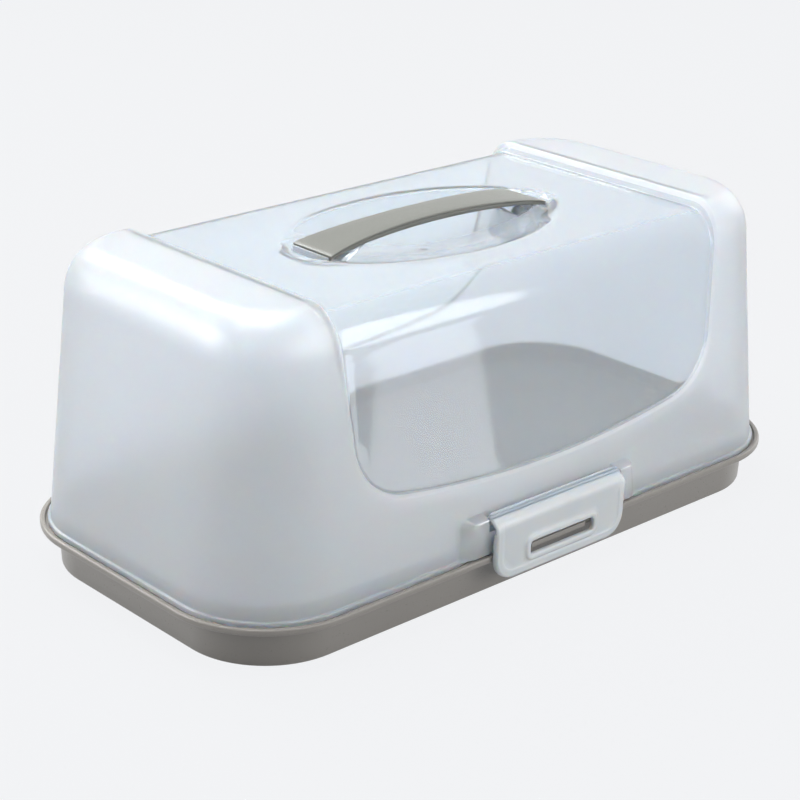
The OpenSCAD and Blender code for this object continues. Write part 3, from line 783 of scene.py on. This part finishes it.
def buildClip():
    plane, triangles = clipPlane()
    x, v = plane[:, 0], plane[:, 1]
    # Side view of the outer face, from the plate's foot up and over the fold to the ledge's back
    side = np.array([(clipLow, 0.0, clipLow)] + cs["fold"])
    side[:, 1] += cs["plateY"]
    edgeAway, slotAway = -signedDistance(plane, sheetLine(0.0)), signedDistance(plane, slotLine(0.0))
    onPlate = 1 - fade(v, cs["plateEnd"], cs["plateFade"])
    turn = np.clip(1 - edgeAway / cs["turnIn"], 0, 1)
    back = cs["turnIn"] * cs["turnShare"] * (1 - np.sqrt(np.clip(1 - turn ** 2, 0, 1)))
    # A frame round the slot, a fine bead along the edge, and a field that lies a little lower
    proud = cs["frameOut"] * (1 - fade(slotAway, cs["frame"] - 0.5, cs["soft"]))
    proud *= smoothStep(slotAway / cs["soft"] + 0.35)
    proud += cs["bead"] * fade(edgeAway, 0.0, cs["beadRise"]) * (1 - fade(edgeAway, cs["beadWide"], cs["soft"]))
    proud -= cs["fieldIn"] * fade(edgeAway, cs["fieldStart"] - cs["fieldSoft"] / 2, cs["fieldSoft"]) * (
        1 - fade(v, cs["fieldEnd"], cs["plateFade"])) * fade(slotAway, cs["frame"], cs["fieldSoft"])
    y = fromTable(v, side) + back * onPlate
    z = fromTable(v, side, 2) - back * 0.5 * (1 - onPlate)
    slopeY, slopeZ = np.gradient(side[:, 1]), np.gradient(side[:, 2])
    length = np.hypot(slopeY, slopeZ)
    inY, inZ = (np.interp(v, side[:, 0], part / length) for part in (slopeZ, -slopeY))
    thick = cs["thick"] - cs["edgeThinner"] * smoothStep(1 - edgeAway / cs["soft"])
    front, rear = np.column_stack([x, y - proud, z]), np.column_stack([x, y + inY * thick, z + inZ * thick])
    faces = closeSheet(triangles.tolist(), len(plane))
    used = sorted({i for face in faces for i in face})
    index = {old: new for new, old in enumerate(used)}
    rings = barrelRings()
    vertices = [tuple(p) for p in np.vstack([front, rear])[used] * mm] + sum(rings, [])
    faces = [tuple(index[i] for i in face) for face in faces]
    faces += ringFaces(len(rings), cs["around"], len(used), closed=True)
    clip = meshObject("front_clip", vertices, faces, clipPlastic)
    return finishPiece(clip, 55)


clipPiece = buildClip()

# Rear hinge eyes on the tray and the hood, all from one tree
hingeSizes = {
    "spread": 60.0, "centreY": 103.6, "centreZ": 24.9, "radius": 2.98, "around": 40, "behind": 0.05, "weld": 0.1,
    "knuckle": {"offset": 0.0, "width": 13.0, "armLow": -0.6, "armBack": 10.0},
    "lug": {"offset": 9.5, "width": 5.0, "armLow": -3.0, "armBack": 5.0},
}


def hingeTree():
    lengths = ("spread", "centreY", "centreZ", "radius", "offset", "width", "armLow", "armBack")
    tree, sockets, given = newTree("hinge_maker", lengths, ("around",))
    eye = addNode(tree, "GeometryNodeMeshCylinder", {
        "Vertices": given["around"], "Radius": given["radius"], "Depth": given["width"]})
    lying = addNode(tree, "GeometryNodeTransform", {"Geometry": eye, "Rotation": (0.0, pi / 2, 0.0)})
    minus = {}
    for key in ("armBack", "spread", "offset"):
        minus[key] = addNode(tree, "ShaderNodeMath", {0: given[key], 1: -1.0}, operation="MULTIPLY")
    # The side of the eye that faces the wall is drawn out into its arm
    place = addNode(tree, "ShaderNodeSeparateXYZ", {"Vector": addNode(tree, "GeometryNodeInputPosition")}).outputs
    behind = addNode(tree, "FunctionNodeCompare", {0: place["Y"], 1: -hingeSizes["behind"] * mm}, operation="LESS_THAN")
    above = addNode(tree, "FunctionNodeCompare", {0: place["Z"], 1: given["armLow"]}, operation="GREATER_THAN")
    arm = addNode(tree, "FunctionNodeBooleanMath", {0: behind, 1: above}, operation="AND")
    drawn = addNode(tree, "ShaderNodeCombineXYZ", {"X": place["X"], "Y": minus["armBack"], "Z": place["Z"]})
    shaped = addNode(tree, "GeometryNodeSetPosition", {"Geometry": lying, "Selection": arm, "Position": drawn})
    # Places: two hinges, and an eye on each side of a hinge's middle
    rows = []
    for key, centre in (("spread", {"Y": given["centreY"], "Z": given["centreZ"]}), ("offset", {})):
        start, end = (addNode(tree, "ShaderNodeCombineXYZ", {"X": x, **centre}) for x in (minus[key], given[key]))
        rows.append(addNode(tree, "GeometryNodeMeshLine", {
            "Count": 2, "Start Location": start, "Offset": end}, mode="END_POINTS"))
    spots = addNode(tree, "GeometryNodeInstanceOnPoints", {"Points": rows[0], "Instance": rows[1]})
    spotMesh = addNode(tree, "GeometryNodeRealizeInstances", {"Geometry": spots})
    single = addNode(tree, "GeometryNodeMergeByDistance", {"Geometry": spotMesh, "Distance": hingeSizes["weld"] * mm})
    eyes = addNode(tree, "GeometryNodeInstanceOnPoints", {"Points": single, "Instance": shaped})
    finishTree(tree, eyes, given["plastic"])
    return tree, sockets


hingeMaker = hingeTree()
lidEyes = applyTree("rear_knuckles", *hingeMaker, {**hingeSizes, **hingeSizes["knuckle"]}, frosted)
trayEyes = applyTree("tray_hinge_eyes", *hingeMaker, {**hingeSizes, **hingeSizes["lug"]}, trayPlastic)
for piece in (lidEyes, trayEyes):
    finishPiece(piece, 40)

# Clear wedges under the strap's ends, with places counted from the tab
wedgeSizes = {
    "halfWidth": 9.0, "edge": 0.5, "inner": -23.0, "foot": -9.0, "outer": 4.0, "sunk": 0.3, "innerGap": 0.15,
    "gaps": [(4.0, 0.45), (-2.0, 0.3), (-6.0, 0.15)],  # how far out, and how far under the strap
}
# Narrow frosted bars that the strap's tips lie against
restSizes = {"out": 1.0, "halfThick": 0.5, "halfWidth": 13.0, "low": 3.6, "high": 0.4, "edge": 0.4}


def buildWedges():
    ws, tab = wedgeSizes, strapSizes["tabX"]
    inner, foot, outer = (tab + ws[key] for key in ("inner", "foot", "outer"))
    bowlFloor = roofZ - hs["bowlDepth"] * (1 - (foot / hs["bowlX"]) ** 2)
    side = [(inner, strapUnder(inner) - ws["innerGap"]), (foot, bowlFloor + ws["sunk"]),
            (outer, roofZ - hs["pocketDepth"] + ws["sunk"])]
    side += [(tab + out, strapUnder(tab + out) - gap) for out, gap in ws["gaps"]]
    vertices, faces = [], []
    n = len(side)
    for sign in (1, -1):
        start = len(vertices)
        for y in (-ws["halfWidth"], ws["halfWidth"]):
            vertices += [(sign * x * mm, y * mm, z * mm) for x, z in side]
        faces += [tuple(start + i for i in range(n)), tuple(start + n + i for i in reversed(range(n)))]
        faces += [(start + i, start + n + i, start + n + (i + 1) % n, start + (i + 1) % n) for i in range(n)]
    wedges = meshObject("strap_wedges", vertices, faces, clear)
    changeMesh(wedges, lambda bm: bmesh.ops.bevel(
        bm, geom=bm.edges[:], offset=ws["edge"] * mm, segments=2, profile=0.5, affect="EDGES"))
    return finishPiece(wedges, 50)


def buildRests():
    rs, rests = restSizes, meshObject("strap_rests", [], [], frosted)
    for sign in (-1, 1):
        x = sign * (strapSizes["halfLength"] + rs["out"])
        addBlock(rests, (x - rs["halfThick"], -rs["halfWidth"], roofZ - rs["low"]),
                 (x + rs["halfThick"], rs["halfWidth"], roofZ - rs["high"]), rs["edge"])
    for polygon in rests.data.polygons:
        polygon.use_smooth = True
    return finishPiece(rests, 50)


wedgePiece = buildWedges()
restPiece = buildRests()

# CAD nodes that stay get their real material
for node in ("latch_pin", "hinge_pin_left", "hinge_pin_right"):
    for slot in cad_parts[node].material_slots:
        slot.material = steel

for piece in (hoodShell, lidEyes, wedgePiece, restPiece):
    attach(piece, "lid")
    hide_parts("hood")
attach(strapPiece, "lid")
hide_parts("handle")
for piece in (trayPiece, trayEyes):
    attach(piece, "base")
    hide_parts("tray")
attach(clipPiece, "latch")
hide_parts("latch_clip")
print("pieces placed")

# Studio
studio = {
    "background": "#f3f4f6", "floorColor": "#9ea0a2", "floorGlow": 0.96, "floorHalf": 6.0,
    # The room's light: weakest and strongest, how high it stops growing, and the side that it is darkest on
    "roomColor": "#f4f6fa", "low": 0.5, "high": 0.95, "top": 0.9, "darkSide": (-0.66, -0.72, 0.2),
    "darkFrom": 0.1, "darkTo": 0.95, "darkShare": 0.15,
    "card": {"corner": (0.092, -0.222), "way": (0.673, -0.739), "length": 0.75, "width": 0.075, "lift": 0.002,
             "color": "#f6f8ff", "glow": 4.2},
    # Place, height that it points at, width, height and power
    "softboxes": {
        "overhead_softbox": ((-0.15, 0.15, 1.5), 0.1, 1.1, 0.8, 20),
        "rear_softbox": ((0.0, 1.25, 1.2), 0.1, 0.6, 0.7, 17),
        "side_softbox": ((-1.45, 0.95, 0.75), 0.08, 1.0, 0.9, 20),
        "front_softbox": ((0.7, -1.5, 0.7), 0.08, 1.06, 1.2, 16),
        "fill_softbox": ((-0.15, -1.65, 0.65), 0.08, 0.7, 0.9, 6.5),
        "right_softbox": ((1.6, 0.1, 0.6), 0.08, 0.9, 0.9, 4),
    },
}


def raysSeen(tree):
    # 1 for what the camera sees directly, by mirror or through the plastic
    rays = addNode(tree, "ShaderNodeLightPath").outputs
    seen = rays["Is Camera Ray"]
    for kind in ("Is Transmission Ray", "Is Glossy Ray"):
        seen = addNode(tree, "ShaderNodeMath", {0: seen, 1: rays[kind]}, operation="MAXIMUM")
    return seen


def stagePlane():
    h = studio["floorHalf"]
    material, tree = newMaterial("matt_paper_floor")
    diffuse = addNode(tree, "ShaderNodeBsdfDiffuse", {"Color": hexColor(studio["floorColor"])})
    glow = addNode(tree, "ShaderNodeEmission", {"Color": hexColor(studio["background"]), "Strength": 1.0})
    share = addNode(tree, "ShaderNodeMath", {0: raysSeen(tree), 1: studio["floorGlow"]}, operation="MULTIPLY")
    mix = addNode(tree, "ShaderNodeMixShader", {0: share, 1: diffuse, 2: glow})
    finishMaterial(tree, mix)
    corners = [(-h, -h, 0), (h, -h, 0), (h, h, 0), (-h, h, 0)]
    meshObject("studio_floor", corners, [(0, 1, 2, 3)], material)


def studioWorld():
    world = bpy.data.worlds.new("studio_world")
    bpy.context.scene.world = world
    world.use_nodes = True
    tree = world.node_tree
    tree.nodes.clear()
    # The room is brightest overhead and darkest low down on the photographer's side
    place = addNode(tree, "ShaderNodeTexCoord").outputs["Generated"]
    way = addNode(tree, "ShaderNodeSeparateXYZ", {"Vector": place})
    level = addNode(tree, "ShaderNodeMapRange", {
        "Value": way.outputs["Z"], "From Min": 0.0, "From Max": studio["top"],
        "To Min": studio["low"], "To Max": studio["high"]})
    toward = addNode(tree, "ShaderNodeVectorMath", {0: place, 1: studio["darkSide"]}, operation="DOT_PRODUCT")
    shade = addNode(tree, "ShaderNodeMapRange", {
        "Value": toward.outputs["Value"], "From Min": studio["darkFrom"], "From Max": studio["darkTo"],
        "To Min": 1.0, "To Max": studio["darkShare"]}, interpolation_type="SMOOTHSTEP")
    strength = addNode(tree, "ShaderNodeMath", {0: level, 1: shade}, operation="MULTIPLY")
    room = addNode(tree, "ShaderNodeBackground", {"Color": hexColor(studio["roomColor"]), "Strength": strength})
    plain = addNode(tree, "ShaderNodeBackground", {"Color": hexColor(studio["background"]), "Strength": 1.0})
    mix = addNode(tree, "ShaderNodeMixShader", {0: raysSeen(tree), 1: room, 2: plain})
    addNode(tree, "ShaderNodeOutputWorld", {"Surface": mix})


def addSoftboxes():
    for name, (place, targetZ, width, height, power) in studio["softboxes"].items():
        lamp = bpy.data.lights.new(name, "AREA")
        lamp.shape = "RECTANGLE"
        lamp.size, lamp.size_y, lamp.energy = width, height, power
        holder = addObject(name, lamp)
        holder.location = place
        holder.rotation_euler = (Vector((0, 0, targetZ)) - Vector(place)).to_track_quat("-Z", "Y").to_euler()


def addCard():
    # A lit card on the floor at the front, seen only where the polished window mirrors it
    card = studio["card"]
    along = Vector((*card["way"], 0)).normalized()
    across = Vector((along.y, -along.x, 0)) * card["width"]
    start = Vector((*card["corner"], card["lift"]))
    end = start + along * card["length"]
    material, tree = newMaterial("lit_card")
    finishMaterial(tree, addNode(tree, "ShaderNodeEmission", {
        "Color": hexColor(card["color"]), "Strength": card["glow"]}))
    piece = meshObject("reflector_card", [start, end, end + across, start + across], [(0, 1, 2, 3)], material)
    piece.visible_camera = piece.visible_diffuse = piece.visible_transmission = piece.visible_shadow = False


stagePlane()
studioWorld()
addSoftboxes()
addCard()
print("studio ready")

# Camera where the photograph was taken from
cameraSizes = {"place": (-0.6821, -0.7209, 0.4623), "turn": -42.83, "lift": 22.0, "roll": 1.16, "lens": 93.37,
               "sensor": 36}
turn, lift, roll = (radians(cameraSizes[key]) for key in ("turn", "lift", "roll"))
backward = Vector((sin(turn) * cos(lift), -cos(turn) * cos(lift), sin(lift)))
level = Vector((cos(turn), sin(turn), 0))
upright = level.cross(-backward)
right = level * cos(roll) + upright * sin(roll)
upward = upright * cos(roll) - level * sin(roll)
cameraData = bpy.data.cameras.new("camera")
cameraData.lens, cameraData.sensor_width = cameraSizes["lens"], cameraSizes["sensor"]
camera = addObject("camera", cameraData)
turned = Matrix((right, upward, backward)).transposed().to_4x4()
camera.matrix_world = Matrix.Translation(cameraSizes["place"]) @ turned
bpy.context.scene.camera = camera
bpy.context.scene.view_settings.view_transform = "Standard"

print("done")
